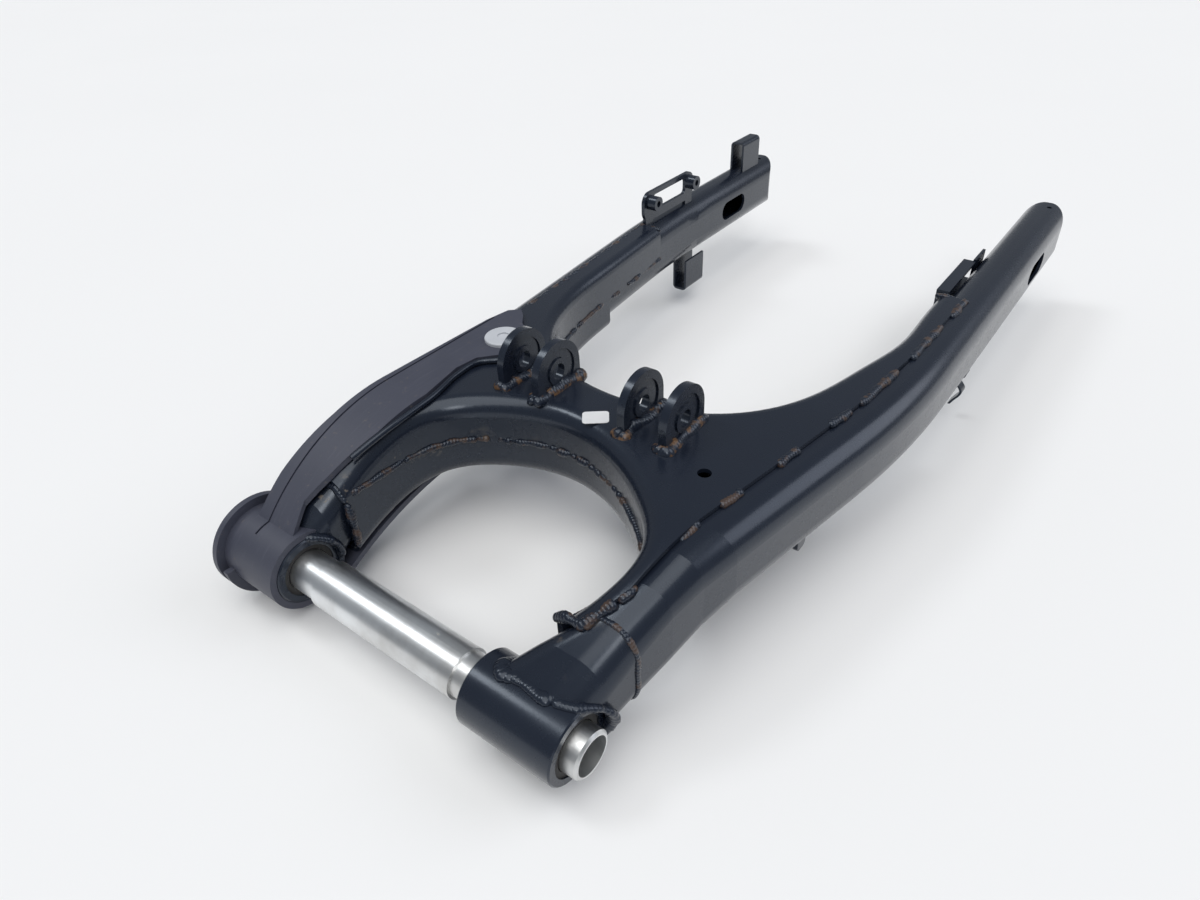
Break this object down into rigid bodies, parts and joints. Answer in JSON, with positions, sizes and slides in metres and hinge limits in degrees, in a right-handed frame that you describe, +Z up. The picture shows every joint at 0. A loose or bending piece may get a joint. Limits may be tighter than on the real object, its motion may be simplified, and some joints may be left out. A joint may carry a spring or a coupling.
{
  "type": "motorcycle swingarm",
  "caption": "Black welded steel motorcycle swingarm with pivot sleeves, needle bearings, linkage ears, spindle slots and a chain slider.",
  "frame": {"origin": "on the pivot line, halfway along the pivot sleeves", "axes": "+X along the pivot line to the plain right-hand housing, +Y back to the wheel spindle, +Z up through the linkage ears as the part lies"},
  "size_m": [0.3105, 0.652, 0.1243],
  "materials": {
    "black_paint": "gloss black paint",
    "plated_steel": "bright plated steel",
    "bearing_steel": "ground steel",
    "seal_rubber": "dark rubber",
    "slider_plastic": "matt, scuffed",
    "plug_plastic": "pale, satin"
  },
  "bodies": {
    "swingarm": {"crossmember_upper": "black_paint", "crossmember_lower": "black_paint", "arm_left": "black_paint", "arm_right": "black_paint", "neck_left_upper": "black_paint", "neck_left_lower": "black_paint", "neck_right_upper": "black_paint", "neck_right_lower": "black_paint", "pivot_housing_left": "black_paint", "pivot_housing_right": "black_paint", "ear_left_outer": "black_paint", "ear_left_inner": "black_paint", "ear_right_inner": "black_paint", "ear_right_outer": "black_paint", "chain_guard_bracket": "black_paint", "guard_boss_front": "black_paint", "guard_boss_rear": "black_paint", "top_channel_bracket": "black_paint", "low_channel_bracket": "black_paint", "stop_channel": "black_paint", "stop_plate": "black_paint", "hose_clip": "black_paint", "hose_tab": "black_paint", "chain_slider": "slider_plastic", "slider_plug": "plug_plastic", "seal_left_left_end": "seal_rubber", "bearing_cup_left_left_end": "bearing_steel", "seal_left_right_end": "seal_rubber", "bearing_cup_left_right_end": "bearing_steel", "seal_right_left_end": "seal_rubber", "bearing_cup_right_left_end": "bearing_steel", "seal_right_right_end": "seal_rubber", "bearing_cup_right_right_end": "bearing_steel"},
    "spindle": {"sleeve_left": "plated_steel", "spacer_tube": "plated_steel", "sleeve_right": "plated_steel"},
    "needles": {"needles_left_left_end": "bearing_steel", "needles_left_right_end": "bearing_steel", "needles_right_left_end": "bearing_steel", "needles_right_right_end": "bearing_steel"}
  },
  "joints": [
    {"name": "pivot_spin", "type": "hinge", "parent": "swingarm", "child": "spindle", "pos_m": [0, 0, 0], "axis": [1, 0, 0], "continuous": true},
    {"name": "needle_spin", "type": "hinge", "parent": "swingarm", "child": "needles", "pos_m": [0, 0, 0], "axis": [1, 0, 0], "continuous": true}
  ],
  "couplings": [
    {"joint": "needle_spin", "follows": "pivot_spin", "ratio": 0.4613}
  ]
}
